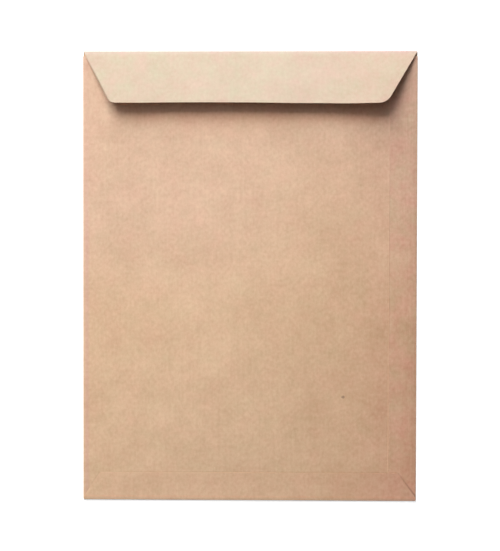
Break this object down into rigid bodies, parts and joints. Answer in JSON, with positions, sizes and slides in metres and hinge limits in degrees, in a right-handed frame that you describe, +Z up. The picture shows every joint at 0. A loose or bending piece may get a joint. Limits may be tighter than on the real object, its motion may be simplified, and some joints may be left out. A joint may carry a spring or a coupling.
{
  "type": "paper envelope",
  "caption": "Flat pocket envelope of brown kraft paper, with a long glued seam near one side, a short glued bottom flap and a closing flap that springs slightly open.",
  "frame": {"origin": "on the floor, under the middle of the folded outline", "axes": "+X to the side with the glued seam, +Y along the envelope to the fold of the closing flap, +Z up, out of the back panel"},
  "size_m": [0.26, 0.35, 0.0117],
  "materials": {
    "kraft_paper": "plain brown kraft paper, faintly ribbed, soft satin sheen"
  },
  "bodies": {
    "root": {"envelope": "kraft_paper"}
  },
  "joints": []
}
